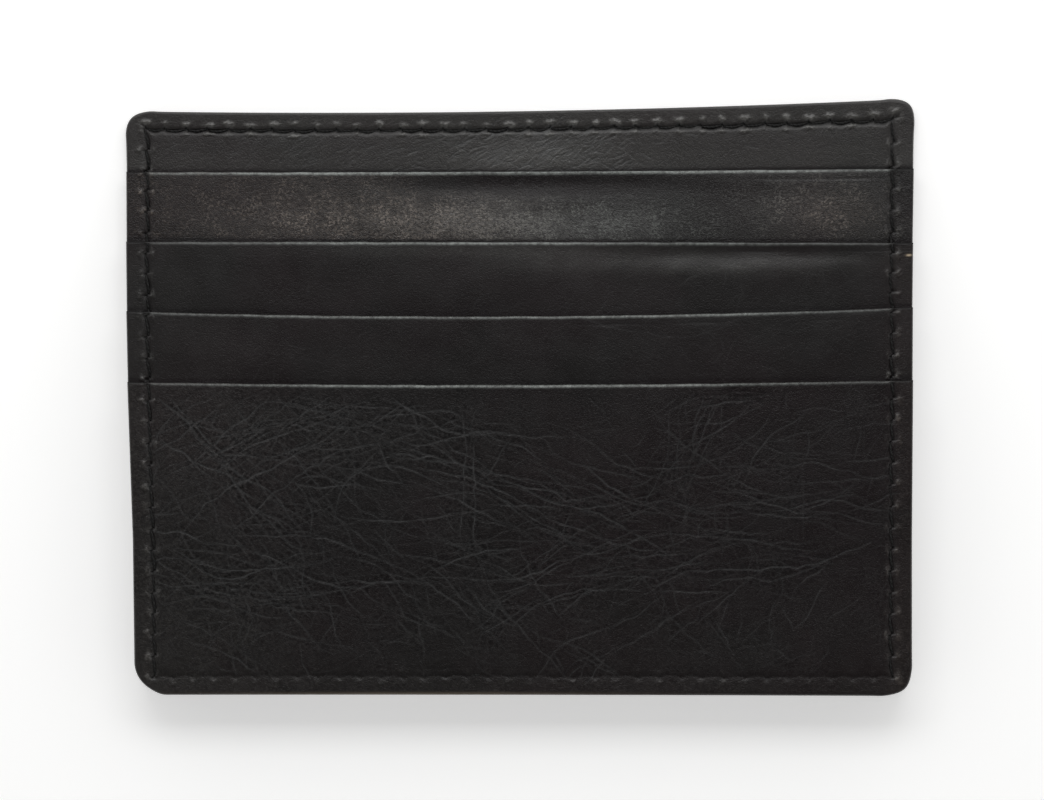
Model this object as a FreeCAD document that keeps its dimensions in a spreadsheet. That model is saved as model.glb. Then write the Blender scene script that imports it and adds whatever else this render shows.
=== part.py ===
"""A card holder with four card slots, as a parametric document: a leather back, a wall behind the slots,
three slot panels and a front pocket, each with its lining, the U-shaped fillers that leave room for a card
behind each of them, and the thread on either side.

The holder lies on its back. +X runs across it, +Y runs towards its top edge and +Z comes out of its front.
The origin is the centre of the back face, and every length is in millimetres.
"""

import FreeCAD, Part
import math
import os

import Sketcher

# The driving dimensions: alias, value in millimetres, what it is.
DIMENSIONS = [
    ("holder_width", 100.0, "outer width across the slots"),
    ("holder_height", 75.0, "outer height from bottom edge to top edge"),
    ("top_radius", 3.4, "radius of the two upper corners"),
    ("bottom_radius", 4.2, "radius of the two lower corners"),
    ("back_thick", 0.6, "leather of the back panel"),
    ("core_thick", 0.15, "bonded sheet between the back and the wall"),
    ("core_inset", 0.6, "bonded sheet in from the outer edge"),
    ("face_thick", 0.45, "leather of the wall behind the slots"),
    ("panel_thick", 0.4, "leather of a slot panel"),
    ("front_thick", 0.6, "leather of the front pocket"),
    ("lining_thick", 0.1, "fabric on the back of a panel"),
    ("lining_inset", 0.4, "lining in from the outer edge"),
    ("lining_drop", 1.5, "how far a lining ends below its mouth"),
    ("card_gap", 0.8, "filler thickness, which is the room for one card"),
    ("card_room", 86.6, "clear width between the two sides of a filler"),
    ("filler_drop", 0.6, "how far a filler ends below its mouth"),
    ("filler_radius", 1.0, "rounding of a filler's two inner corners"),
    ("pocket_mouth", 39.7, "height of the front pocket's mouth above the bottom edge"),
    ("slot_pitch", 9.1, "distance from one mouth to the next"),
    ("floor_1", 18.0, "floor of the first slot above the bottom edge"),
    ("floor_2", 9.0, "floor of the second slot above the bottom edge"),
    ("floor_3", 4.8, "floor of the third slot above the bottom edge"),
    ("floor_4", 4.8, "floor of the front pocket above the bottom edge"),
    ("seam_inset", 2.3, "seam line in from the outer edge"),
    ("thread_width", 0.4, "diameter of the sewing thread"),
    ("groove_depth", 0.25, "stitching groove that the thread is pulled into"),
    ("groove_play", 0.05, "clearance between a thread and the leather"),
]

# The slots are numbered from the top edge down. The last one is the front pocket.
SLOTS = 4

# An edge whose direction has at least this share along Z is upright, and a centre at least this share of the
# way out is on the outer edge. Two positions closer together than SAME_PLACE, in millimetres, are the same.
AXES_LIMIT = 0.99
SAME_PLACE = 0.05

doc = FreeCAD.newDocument("CardHolder")


def make_sheet():
    """The spreadsheet that drives every size."""
    table = doc.addObject("Spreadsheet::Sheet", "Sheet")
    for row, (alias, value, meaning) in enumerate(DIMENSIONS, start=1):
        table.set(f"A{row}", meaning)
        table.set(f"B{row}", str(value))
        table.setAlias(f"B{row}", alias)
    doc.recompute()
    return table


sheet = make_sheet()

# Lengths and heights as expressions on the sheet.
HALF_WIDTH = "Sheet.holder_width / 2"
WALL_TOP = "(Sheet.back_thick + Sheet.core_thick + Sheet.face_thick)"
SLOT_DEPTH = "(Sheet.card_gap + Sheet.lining_thick + Sheet.panel_thick)"


def mouth(slot):
    """Height of a slot's mouth above the bottom edge."""
    return f"(Sheet.pocket_mouth + {SLOTS - slot} * Sheet.slot_pitch)"


def slot_level(slot):
    """Height of the wall behind a slot above the back face, which is where its filler lies."""
    return f"({WALL_TOP} + {slot - 1} * {SLOT_DEPTH})"


def leather_of(slot):
    """Thickness of the leather in front of a slot."""
    return "Sheet.front_thick" if slot == SLOTS else "Sheet.panel_thick"


def name_of(slot, piece):
    """The label of the panel or the lining in front of a slot."""
    return f"front_pocket_{piece}" if slot == SLOTS else f"slot_{piece}_{slot}"


def size(alias):
    """One driving dimension, as a number."""
    return float(getattr(sheet, alias))


def new_body(label, level):
    """An empty body whose own origin is on the holder's bottom edge, at a height above the back face."""
    body = doc.addObject("PartDesign::Body", label)
    body.Label = label
    body.setExpression("Placement.Base.y", "-Sheet.holder_height / 2")
    body.setExpression("Placement.Base.z", level)
    return body


def new_sketch(body, name, height=None):
    """A sketch on the body's own XY plane, or at a height above it."""
    plane = next(f for f in body.Origin.OriginFeatures if f.Role == "XY_Plane")
    sketch = body.newObject("Sketcher::SketchObject", name)
    sketch.AttachmentSupport = [(plane, "")]
    sketch.MapMode = "FlatFace"
    if height:
        sketch.setExpression("AttachmentOffset.Base.z", height)
    return sketch


def add_outline(sketch, corners, name="corner"):
    """A closed outline. Each corner is a pair of expressions, which become its dimensions across and up."""
    first = sketch.GeometryCount
    count = len(corners)
    turn = 2 * math.pi / count
    start = [FreeCAD.Vector(math.cos(turn * i), math.sin(turn * i), 0) for i in range(count)]
    for i in range(count):
        sketch.addGeometry(Part.LineSegment(start[i], start[(i + 1) % count]), False)
    for i in range(count):
        following = first + (i + 1) % count
        sketch.addConstraint(Sketcher.Constraint("Coincident", first + i, 2, following, 1))
    for i, corner in enumerate(corners):
        for kind, expression in zip(("DistanceX", "DistanceY"), corner):
            index = sketch.addConstraint(Sketcher.Constraint(kind, -1, 1, first + i, 1, 1.0))
            label = f"{name}_{i}_{kind[-1]}"
            sketch.renameConstraint(index, label)
            sketch.setExpression(f"Constraints.{label}", expression)


def rectangle(half_width, bottom, top):
    """The corners of a rectangle centred across the holder."""
    left = f"-({half_width})"
    return [(left, bottom), (half_width, bottom), (half_width, top), (left, top)]


def pad(body, sketch, length):
    """A pad upwards from a sketch."""
    feature = body.newObject("PartDesign::Pad", "Thickness")
    feature.Profile = sketch
    feature.setExpression("Length", length)
    doc.recompute()
    return feature


def corner_edges(shape, upper):
    """Names of the upright edges at the two upper or the two lower outer corners."""
    box = shape.BoundBox
    height = box.YMax if upper else box.YMin
    names = []
    for number, edge in enumerate(shape.Edges, start=1):
        upright = abs(edge.tangentAt(edge.FirstParameter).z) > AXES_LIMIT
        centre = edge.CenterOfMass
        outermost = abs(centre.x) > AXES_LIMIT * box.XMax
        if upright and outermost and abs(centre.y - height) < SAME_PLACE:
            names.append(f"Edge{number}")
    return names


def round_corners(body, upper, radius):
    """Rounds the two upper or the two lower outer corners of a sheet."""
    base = body.Tip
    fillet = body.newObject("PartDesign::Fillet", "UpperCorners" if upper else "LowerCorners")
    fillet.Base = (base, corner_edges(base.Shape, upper))
    fillet.setExpression("Radius", radius)
    doc.recompute()


def make_full_sheet(label, level, thickness, inset="0"):
    """A sheet with the whole holder's outline, drawn in from the edge by an inset."""
    body = new_body(label, level)
    sketch = new_sketch(body, "Outline")
    top = f"Sheet.holder_height - {inset}"
    add_outline(sketch, rectangle(f"{HALF_WIDTH} - {inset}", inset, top))
    pad(body, sketch, thickness)
    round_corners(body, True, f"Sheet.top_radius - {inset}")
    round_corners(body, False, f"Sheet.bottom_radius - {inset}")
    return body


def make_panel(slot):
    """The leather in front of a slot, from its mouth down to the bottom edge."""
    level = f"{slot_level(slot)} + Sheet.card_gap + Sheet.lining_thick"
    body = new_body(name_of(slot, "panel"), level)
    sketch = new_sketch(body, "Outline")
    add_outline(sketch, rectangle(HALF_WIDTH, "0", mouth(slot)))
    pad(body, sketch, leather_of(slot))
    round_corners(body, False, "Sheet.bottom_radius")
    cut_groove(body, leather_of(slot))
    return body


def make_lining(slot):
    """The fabric on the back of a panel, a little smaller all round."""
    body = new_body(name_of(slot, "lining"), f"{slot_level(slot)} + Sheet.card_gap")
    sketch = new_sketch(body, "Outline")
    inset = "Sheet.lining_inset"
    add_outline(sketch, rectangle(f"{HALF_WIDTH} - {inset}", inset, f"{mouth(slot)} - Sheet.lining_drop"))
    pad(body, sketch, "Sheet.lining_thick")
    round_corners(body, False, f"Sheet.bottom_radius - {inset}")
    return body


def make_filler(slot):
    """The U-shaped filler of a slot. It closes the sides, its upper inner edge is the floor, and it is as
    thick as a card."""
    body = new_body(f"slot_filler_{slot}", slot_level(slot))
    sketch = new_sketch(body, "Outline")
    room, floor = "Sheet.card_room / 2", f"Sheet.floor_{slot}"
    top = f"{mouth(slot)} - Sheet.filler_drop"
    outer = [(f"-{HALF_WIDTH}", top), (f"-{HALF_WIDTH}", "0"), (HALF_WIDTH, "0"), (HALF_WIDTH, top)]
    inner = [(room, top), (room, floor), (f"-{room}", floor), (f"-{room}", top)]
    add_outline(sketch, outer + inner)
    pad(body, sketch, "Sheet.card_gap")
    round_corners(body, False, "Sheet.bottom_radius")
    round_floor(body, slot)
    return body


def round_floor(body, slot):
    """Rounds the two ends of a slot's floor."""
    base = body.Tip
    names = []
    for number, edge in enumerate(base.Shape.Edges, start=1):
        centre = edge.CenterOfMass
        upright = abs(edge.tangentAt(edge.FirstParameter).z) > AXES_LIMIT
        at_side = abs(abs(centre.x) - size("card_room") / 2) < SAME_PLACE
        at_floor = abs(centre.y - size(f"floor_{slot}")) < SAME_PLACE
        if upright and at_side and at_floor:
            names.append(f"Edge{number}")
    fillet = body.newObject("PartDesign::Fillet", "FloorEnds")
    fillet.Base = (base, names)
    fillet.setExpression("Radius", "Sheet.filler_radius")
    doc.recompute()


def add_seam_band(sketch, half_width):
    """The seam line round the holder, as a band between two rectangles."""
    for edge, sign in (("outer", "-"), ("inner", "+")):
        inset = f"(Sheet.seam_inset {sign} ({half_width}))"
        top = f"Sheet.holder_height - {inset}"
        add_outline(sketch, rectangle(f"{HALF_WIDTH} - {inset}", inset, top), edge)


def cut_groove(body, front=None):
    """Cuts the stitching groove into a sheet's back, or into its front at the given height."""
    before = body.Shape.Volume
    seam = new_sketch(body, "SeamLine", front)
    add_seam_band(seam, "Sheet.thread_width / 2 + Sheet.groove_play")
    groove = body.newObject("PartDesign::Pocket", "StitchGroove")
    groove.Profile = seam
    groove.setExpression("Length", "Sheet.groove_depth")
    groove.Reversed = front is None
    doc.recompute()
    if groove.Shape.Volume >= before:
        raise RuntimeError(f"{body.Label}: the groove cut nothing")


def make_bobbin_thread():
    """The thread on the back, lying in the back panel's groove."""
    body = new_body("bobbin_thread", "Sheet.groove_play / 2")
    seam = new_sketch(body, "SeamLine")
    add_seam_band(seam, "Sheet.thread_width / 2")
    pad(body, seam, "Sheet.groove_depth - Sheet.groove_play")
    return body


def side_path():
    """Points (Y, height) of the leather that the thread follows up one side. It steps down at each mouth, one
    thread's width past it, so that it clears the panel's edge."""
    past = size("thread_width")
    depth = size("card_gap") + size("lining_thick") + size("panel_thick")
    height = SLOTS * depth - size("panel_thick") + size("front_thick")
    along = size("pocket_mouth") + past
    points = [(size("seam_inset"), height), (along, height)]
    for panels_behind in range(SLOTS - 1, -1, -1):
        points.append((along, panels_behind * depth))
        along += size("slot_pitch")
        if panels_behind:
            points.append((along, panels_behind * depth))
    points.append((size("holder_height") - size("seam_inset"), 0.0))
    return points


def make_needle_thread():
    """The thread on the front: round rods along the seam line, joined by a ball at every bend."""
    radius = size("thread_width") / 2
    half = size("holder_width") / 2 - size("seam_inset")
    right = [FreeCAD.Vector(half, along, height) for along, height in side_path()]
    left = [FreeCAD.Vector(-half, point.y, point.z) for point in reversed(right)]
    path = right + left
    rods = []
    for here, following in zip(path, path[1:] + path[:1]):
        along = following - here
        rods.append(Part.makeCylinder(radius, along.Length, here, along))
        rods.append(Part.makeSphere(radius, here))
    thread = doc.addObject("Part::Feature", "needle_thread")
    thread.Label = "needle_thread"
    thread.Shape = rods[0].multiFuse(rods[1:]).removeSplitter()
    wall = size("back_thick") + size("core_thick") + size("face_thick")
    proud = radius + size("groove_play") - size("groove_depth")
    base = FreeCAD.Vector(0, -size("holder_height") / 2, wall + proud)
    thread.Placement = FreeCAD.Placement(base, FreeCAD.Rotation())
    return thread


def build():
    """Every sub-part of the holder, from the back to the front."""
    core_level, face_level = "Sheet.back_thick", "Sheet.back_thick + Sheet.core_thick"
    back = make_full_sheet("back_panel", "0", "Sheet.back_thick")
    core = make_full_sheet("core_sheet", core_level, "Sheet.core_thick", "Sheet.core_inset")
    face = make_full_sheet("face_panel", face_level, "Sheet.face_thick")
    cut_groove(back)
    cut_groove(face, "Sheet.face_thick")
    parts = [back, core, face]
    for slot in range(1, SLOTS + 1):
        parts.append(make_filler(slot))
        parts.append(make_lining(slot))
        parts.append(make_panel(slot))
    parts.append(make_bobbin_thread())
    parts.append(make_needle_thread())
    doc.recompute()
    return parts


def check_document(parts):
    """Stops if any object failed or any sub-part isn't a sound solid."""
    for thing in doc.Objects:
        if "Invalid" in thing.State or "Error" in thing.State:
            raise RuntimeError(f"{thing.Name} failed: {thing.State}")
    for part in parts:
        shape = part.Shape
        if shape.isNull() or not shape.isValid() or len(shape.Solids) != 1:
            raise RuntimeError(f"{part.Label} isn't one sound solid")


def write_parts(parts):
    """One STEP file for each sub-part."""
    os.makedirs("parts", exist_ok=True)
    for part in parts:
        part.Shape.exportStep(os.path.join("parts", f"{part.Label}.step"))
        box = part.Shape.BoundBox
        print(
            f"{part.Label:20s} {part.Shape.Volume:9.2f} mm3"
            f"  x {box.XMin:7.2f} {box.XMax:6.2f}  y {box.YMin:7.2f} {box.YMax:6.2f}"
            f"  z {box.ZMin:5.2f} {box.ZMax:5.2f}"
        )


sub_parts = build()
check_document(sub_parts)
write_parts(sub_parts)
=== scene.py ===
import copy
import math

import bpy
import numpy as np
from mathutils.geometry import delaunay_2d_cdt
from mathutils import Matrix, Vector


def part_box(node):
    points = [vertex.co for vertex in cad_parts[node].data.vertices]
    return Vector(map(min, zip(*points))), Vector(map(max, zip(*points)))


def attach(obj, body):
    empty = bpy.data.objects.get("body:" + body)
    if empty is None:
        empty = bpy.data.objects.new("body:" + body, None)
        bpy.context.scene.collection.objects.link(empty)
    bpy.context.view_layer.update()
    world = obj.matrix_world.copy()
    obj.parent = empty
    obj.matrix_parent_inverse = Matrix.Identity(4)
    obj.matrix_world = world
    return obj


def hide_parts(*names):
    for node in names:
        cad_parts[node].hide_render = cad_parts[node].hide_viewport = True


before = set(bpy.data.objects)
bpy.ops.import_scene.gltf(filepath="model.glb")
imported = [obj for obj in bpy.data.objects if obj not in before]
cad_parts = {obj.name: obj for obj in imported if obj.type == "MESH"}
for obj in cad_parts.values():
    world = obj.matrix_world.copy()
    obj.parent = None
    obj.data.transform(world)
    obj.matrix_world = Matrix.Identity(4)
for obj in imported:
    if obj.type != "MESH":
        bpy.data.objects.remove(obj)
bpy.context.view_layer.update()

# Everything is worked out in millimetres in the row frame and turned into metres as a mesh is made.
MM = 0.001

# ---- sizes read from the CAD parts


def cad(part):
    """Lowest and highest corner of a CAD part, in millimetres."""
    low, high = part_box(part)
    return np.array(low) / MM, np.array(high) / MM


OUTER_LOW, OUTER_HIGH = cad("face_panel")
HALF_WIDTH = OUTER_HIGH[0]
BOTTOM, TOP = OUTER_LOW[1], OUTER_HIGH[1]
SLOT_PANELS = ("slot_panel_1", "slot_panel_2", "slot_panel_3")
POCKET_PANEL = "front_pocket_panel"
PANELS = SLOT_PANELS + (POCKET_PANEL,)
LININGS = ("slot_lining_1", "slot_lining_2", "slot_lining_3", "front_pocket_lining")
FILLERS = ("slot_filler_1", "slot_filler_2", "slot_filler_3", "slot_filler_4")
MOUTHS = [cad(part)[1][1] for part in PANELS]
LEVELS = [cad(part)[1][2] for part in ("face_panel",) + PANELS]

# The CAD thread is a ring along the middle of the seam.
CAD_THREAD_RADIUS = 0.2
SEAM_X = cad("bobbin_thread")[1][0] - CAD_THREAD_RADIUS
SEAM_INSET = HALF_WIDTH - SEAM_X
SEAM_TOP = TOP - SEAM_INSET
SEAM_BOTTOM = BOTTOM + SEAM_INSET

# ---- what CAD boxes don't say

# Corners of the holder, rims of a sheet, how far its edge bulges and how thin a groove may leave it.
UPPER_RADIUS = 3.4
LOWER_RADIUS = 4.2
RIM_RADIUS = 0.28
WALL_RIM = 0.08
EDGE_BULGE = 0.03
THINNEST = 0.08

# Rounding of a sheet's lower and upper corners.
CUT_AT_MOUTH = (LOWER_RADIUS, 0.0)
FULL_HEIGHT = (LOWER_RADIUS, UPPER_RADIUS)

# The fillers: room for a card between the legs, bend inside the U, rim, and floors above the bottom edge.
CARD_ROOM = 86.6
FILLER_BEND = 1.0
FILLER_RIM = 0.15
FLOORS = (18.0, 9.0, 4.8, 4.8)

# The seam. A stitch leaves the straight line by a slant and a sag, and the whole line strays a little.
STITCH_PITCH = 2.71
THREAD_RADIUS = 0.15
THREAD_SUNK = 0.42
THREAD_RISE = 0.30
STITCH_GAP = 0.04
SIDE_STITCH = (0.38, 0.08)
ROW_STITCH = (0.18, 0.22)
BOTTOM_ROW_SUNK = 0.13
SEAM_STRAY = 0.13
BACK_THREAD_LEVEL = -0.08

# Spacing of a sheet's mesh where it is seen, where other panels cover it, and in from its rims. The fine part
# runs a little way under the next panel, and the underside keeps one row in so many.
FINE_STEP = 0.14
COARSE_STEP = 1.6
RIM_STEPS = (0.0, 0.03, 0.08, 0.15, 0.24)
UNDERSIDE_SKIP = 12
TUCKED_UNDER = 1.0
STITCH_RINGS = 13
STITCH_SIDES = 10

# How far the worn holder has eased out of square: at each height (mm above the bottom edge), how far up the
# left, the middle and the right have moved, and how far the left and right edges have moved across.
EASE_HEIGHTS = (0.0, 20.0, 39.7, 48.8, 57.9, 67.0, 75.0)
EASE_UP_LEFT = (0.2, 0.0, 0.1, 0.0, -0.25, -0.45, -0.65)
EASE_UP_MIDDLE = (0.2, -0.1, -0.25, -0.65, -0.3, -0.4, -0.65)
EASE_UP_RIGHT = (0.05, 0.1, 0.35, 0.5, -0.4, 0.0, 0.95)
EASE_LEFT = (-1.3, -1.05, -0.35, -0.15, -0.05, 0.0, 0.15)
EASE_RIGHT = (-0.15, -0.15, 0.0, 0.05, 0.15, 0.3, 0.4)

# Smaller moves: ripples along the mouths, leather gathered in by the seam, and corners pushed out.
RIPPLE = 0.05
SEAM_GATHER, GATHER_REACH = 0.35, 1.6
RIGHT_CORNERS, LEFT_CORNER, CORNER_REACH = 0.75, 0.4, 2.2


def ease(points):
    """Moves points (x, y) as the worn holder has eased."""
    x, y = points[:, 0], points[:, 1]
    height = y - BOTTOM
    left, middle, right = (
        np.interp(height, EASE_HEIGHTS, values)
        for values in (EASE_UP_LEFT, EASE_UP_MIDDLE, EASE_UP_RIGHT)
    )
    across = np.clip(x / HALF_WIDTH, -1, 1)
    bend = across**2
    up = middle + (right - left) / 2 * across + ((right + left) / 2 - middle) * bend
    up += RIPPLE * waves(x, y * 0.3, (4.0, 7.0, 12.0), 21) * smooth(height, 2, 10) * smooth(-height, -73, -68)
    sides = np.where(
        x < 0,
        np.interp(height, EASE_HEIGHTS, EASE_LEFT),
        np.interp(height, EASE_HEIGHTS, EASE_RIGHT),
    )
    corner = RIGHT_CORNERS * near_corner(HALF_WIDTH - x, TOP - np.abs(y))
    corner -= LEFT_CORNER * near_corner(HALF_WIDTH + x, TOP - y)
    gather = SEAM_GATHER * np.exp(-(((np.abs(x) - SEAM_X) / GATHER_REACH) ** 2)) * np.sign(x)
    moved_x = x + sides * across * np.abs(across) - gather + corner
    return np.stack([moved_x, y + up + np.abs(corner) * np.sign(y)], axis=1)


def near_corner(over, up):
    """1 at a corner and 0 well away from it."""
    return np.exp(-((over**2 + up**2) / CORNER_REACH**2))


# ---- fields drawn on a canvas

CANVAS_STEP = 0.07


class Canvas:
    """A field over part of the holder that lines are drawn into and vertices read from."""

    def __init__(self, low, high):
        self.low = np.array(low, float)
        self.shape = np.ceil((np.array(high, float) - self.low) / CANVAS_STEP).astype(int) + 1
        self.values = np.zeros(self.shape)

    def stamp(self, points, strength, width):
        """Draws a soft dot at each point and keeps the strongest value at each place."""
        place = (points - self.low) / CANVAS_STEP
        cell = np.round(place).astype(int)
        reach = int(math.ceil(2 * width / CANVAS_STEP))
        for i in range(-reach, reach + 1):
            for j in range(-reach, reach + 1):
                near = cell + (i, j)
                inside = ((near >= 0) & (near < self.shape)).all(axis=1)
                away = np.linalg.norm((near - place) * CANVAS_STEP, axis=1)
                value = strength * np.exp(-((away / width) ** 2))
                np.maximum.at(self.values, tuple(near[inside].T), value[inside])

    def read(self, x, y):
        """The value at each point, between the four nearest cells."""
        place = (np.column_stack([x, y]) - self.low) / CANVAS_STEP
        place = np.clip(place, 0, self.shape - 1.001)
        cell = place.astype(int)
        part = place - cell
        total = np.zeros(len(x))
        for i in (0, 1):
            for j in (0, 1):
                weight = np.abs(1 - i - part[:, 0]) * np.abs(1 - j - part[:, 1])
                total += weight * self.values[cell[:, 0] + i, cell[:, 1] + j]
        return total


def smooth(value, start, end):
    """0 before start, 1 after end and an even S-curve between."""
    share = np.clip((value - start) / (end - start), 0, 1)
    return share * share * (3 - 2 * share)


def bell(distance, width):
    """1 in the middle of a line, fading to 0 over about its width on either side."""
    return np.exp(-((distance / width) ** 2))


def patch(x, y, centre, spread, strength):
    """A soft oval patch."""
    return strength * np.exp(-(((x - centre[0]) / spread[0]) ** 2) - ((y - centre[1]) / spread[1]) ** 2)


def patches(x, y, places):
    """The sum of soft oval patches, each with its centre, spread and strength."""
    return sum(patch(x, y, *place) for place in places)


def waves(x, y, sizes, seed):
    """A smooth random field between about -1 and 1, from a few crossing waves of each size."""
    random = np.random.default_rng(seed)
    total = np.zeros_like(x)
    for size in sizes:
        for _ in range(5):
            angle, phase = random.uniform(0, math.tau, 2)
            total += np.sin((x * math.cos(angle) + y * math.sin(angle)) * math.tau / size + phase)
    return total / (2.2 * math.sqrt(len(sizes) * 5))


# ---- creases in the leather

# Each family of creases: centre, spread of their middles, direction and its spread in degrees, how many,
# mean length and strength.
FRONT_CREASES = (
    ((-33, -8), (9, 5.5), 31, 5, 36, 22, 0.85),
    ((-28, -8), (8, 5.5), -43, 7, 30, 14, 0.85),
    ((-22, -3), (6, 3), 31, 14, 26, 7, 0.9),
    ((-17, -6), (11, 3.5), -8, 8, 26, 16, 1.0),
    ((2, -11.5), (14, 4.0), -23, 4, 28, 30, 0.95),
    ((24, -19.5), (10, 2.8), -2, 7, 22, 16, 0.85),
    ((-30, -21.5), (12, 2.6), -7, 5, 24, 24, 0.95),
    ((2, -21.5), (12, 2.2), 11, 6, 20, 22, 0.9),
    ((-7.0, -11), (0.7, 1.0), -89, 1.5, 3, 24, 0.85),
    ((22, -8), (4.0, 5), 76, 12, 26, 9, 0.65),
    ((28, -4.5), (6, 3), 42, 12, 14, 11, 0.65),
    ((39, -4), (8, 3.0), 8, 8, 18, 16, 0.7),
    ((37, -12), (8, 3.0), -12, 9, 16, 16, 0.65),
    ((34, -8), (6, 6), 84, 14, 16, 8, 0.45),
    ((-38, -27), (9, 3), -14, 10, 20, 15, 0.8),
    ((-5, -27.5), (6, 2.5), -34, 9, 16, 13, 0.75),
    ((10, -27), (8, 3), 34, 10, 18, 13, 0.7),
    ((28, -13), (10, 3.5), 10, 12, 18, 14, 0.7),
    ((-26, -15), (11, 6), -55, 14, 34, 11, 0.75),
    ((-12, -27), (11, 4), -52, 12, 26, 11, 0.7),
    ((-4, -16), (11, 7), 40, 16, 24, 11, 0.55),
    ((24, -26), (14, 4), 60, 40, 60, 6, 0.55),
    ((-32, -28), (11, 4), 22, 30, 50, 8, 0.6),
    ((-34, -22), (9, 6), -60, 20, 40, 8, 0.6),
    ((0, -17), (32, 12), 0, 90, 300, 3.0, 0.45),
    ((0, -17), (32, 12), -12, 25, 140, 8, 0.45),
)
FACE_CREASES = (
    ((2, 32.5), (7, 1.8), 30, 9, 210, 2.8, 1.0),
    ((4, 32), (8, 1.6), -20, 14, 110, 1.8, 0.8),
    ((-22, 32.5), (10, 1.6), 28, 16, 220, 2.4, 0.5),
    ((26, 33), (12, 1.6), 10, 30, 24, 3.0, 0.15),
)
SLOT_CREASES = {
    1: (
        ((-14, 24), (16, 2), 10, 40, 90, 2.0, 0.35),
        ((20, 24), (12, 2.4), 5, 30, 40, 3.0, 0.25),
    ),
    2: (
        ((8, 16), (12, 2.6), 30, 25, 40, 3.2, 0.22),
        ((32, 15), (7, 2.4), 60, 30, 40, 3.0, 0.25),
        ((-34, 16), (8, 2.4), 40, 30, 24, 3.0, 0.2),
    ),
    3: (
        ((-26, 5), (8, 2.2), 28, 20, 14, 4.0, 0.25),
        ((30, 7), (9, 2), 6, 30, 20, 4.0, 0.25),
        ((22, 9.6), (10, 0.25), 1, 1.5, 4, 22, 0.45),
    ),
}
BACK_CREASES = (
    ((-15, 5), (22, 18), 24, 14, 60, 16, 0.7),
    ((18, -6), (20, 18), -28, 14, 60, 14, 0.7),
    ((0, 0), (30, 22), 0, 90, 260, 5, 0.4),
)

# How creases are drawn: spacing of their points, width of a crease and of the net of the grain, how much a
# crease bows and sways for its length, how uneven the cells of the grain are and how close its rows lie,
# how far ahead a crease aims, how much of a step along the net counts, and how strongly the net pulls it.
CREASE_STEP = 0.06
CREASE_WIDTH = 0.075
NET_WIDTH = 0.07
CREASE_BOW, CREASE_SWAY = 0.07, 0.03
GRAIN_JITTER = 0.38
GRAIN_ROWS = 0.87
AIM_AHEAD = 1.3
PROGRESS = 0.8
GRAIN_PULL = 0.6
CROWD_REACH = 0.9
CROWDING_GAIN = 3.6

# How deep the creases are and how much the leather swells between them, in mm.
FRONT_DEPTH, SLOT_DEPTH, FACE_DEPTH, BACK_DEPTH = 0.045, 0.03, 0.05, 0.03
FRONT_SWELL, SLOT_SWELL, FACE_SWELL = 0.10, 0.07, 0.04
TOOLED_DEPTH = 0.04


class Grain:
    """The net of fine lines between the cells of the grain. Creases run along it."""

    def __init__(self, low, high, cell, seed):
        random = np.random.default_rng(seed)
        across = np.arange(low[0] - cell, high[0] + cell, cell)
        up = np.arange(low[1] - cell, high[1] + cell, cell * GRAIN_ROWS)
        x, y = np.meshgrid(across, up)
        x[::2] += cell / 2
        centres = np.column_stack([x.ravel(), y.ravel()])
        centres += random.normal(0, GRAIN_JITTER * cell, centres.shape)
        triangles = delaunay_2d_cdt(centres.tolist(), [], [], 0, 1e-6)[2]
        self.corners = np.array([centres[list(t[:3])].mean(axis=0) for t in triangles])
        sides = {}
        for index, (a, b, c) in enumerate(triangles):
            for side in ((a, b), (b, c), (c, a)):
                sides.setdefault(tuple(sorted(side)), []).append(index)
        self.links = [pair for pair in sides.values() if len(pair) == 2]
        self.neighbours = [[] for _ in triangles]
        for first, second in self.links:
            self.neighbours[first].append(second)
            self.neighbours[second].append(first)

    def follow(self, curve):
        """The line along the net that stays nearest to a curve."""
        here = int(np.argmin(((self.corners - curve[0]) ** 2).sum(axis=1)))
        route = [here]
        ahead = int(AIM_AHEAD / CREASE_STEP)
        travelled = 0.0
        while travelled < len(curve) * CREASE_STEP:
            aim = curve[min(int(travelled / CREASE_STEP) + ahead, len(curve) - 1)]
            wanted = aim - self.corners[here]
            last = route[-2] if len(route) > 1 else -1
            choices = [n for n in self.neighbours[here] if n != last]
            if not choices:
                break
            steps = self.corners[choices] - self.corners[here]
            lengths = np.linalg.norm(steps, axis=1)
            here = choices[int(np.argmax(steps @ wanted / lengths))]
            route.append(here)
            travelled += lengths.max() * PROGRESS
        line = rounded(eased(self.corners[route]))
        straight = curve[np.linspace(0, len(curve) - 1, len(line)).astype(int)]
        return line * GRAIN_PULL + straight * (1 - GRAIN_PULL)


def eased(corners, passes=3):
    """The corners of a line drawn towards their neighbours, which takes most of the zigzag out."""
    for _ in range(passes):
        corners[1:-1] = (corners[:-2] + 2 * corners[1:-1] + corners[2:]) / 4
    return corners


def rounded(corners):
    """Points along a line through corners, with the corners eased off."""
    if len(corners) < 3:
        return corners
    lengths = np.linalg.norm(np.diff(corners, axis=0), axis=1)
    place = np.concatenate([[0], np.cumsum(lengths)])
    at = np.arange(0, place[-1], CREASE_STEP)
    line = np.column_stack([np.interp(at, place, corners[:, k]) for k in (0, 1)])
    padded = np.pad(line, ((2, 2), (0, 0)), mode="edge")
    return sum(padded[k : k + len(line)] for k in range(5)) / 5


def bowed_curve(random, middle, angle, length):
    """A slightly bowed and swaying curve."""
    share = np.linspace(-0.5, 0.5, max(int(length / CREASE_STEP), 8))
    bow = random.normal(0, CREASE_BOW) * length * (4 * share**2 - 0.3)
    sway = random.normal(0, CREASE_SWAY) * length * np.sin(math.tau * share)
    along, across = share * length, bow + sway
    turned_x = along * math.cos(angle) - across * math.sin(angle)
    turned_y = along * math.sin(angle) + across * math.cos(angle)
    return np.column_stack([turned_x, turned_y]) + middle


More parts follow.
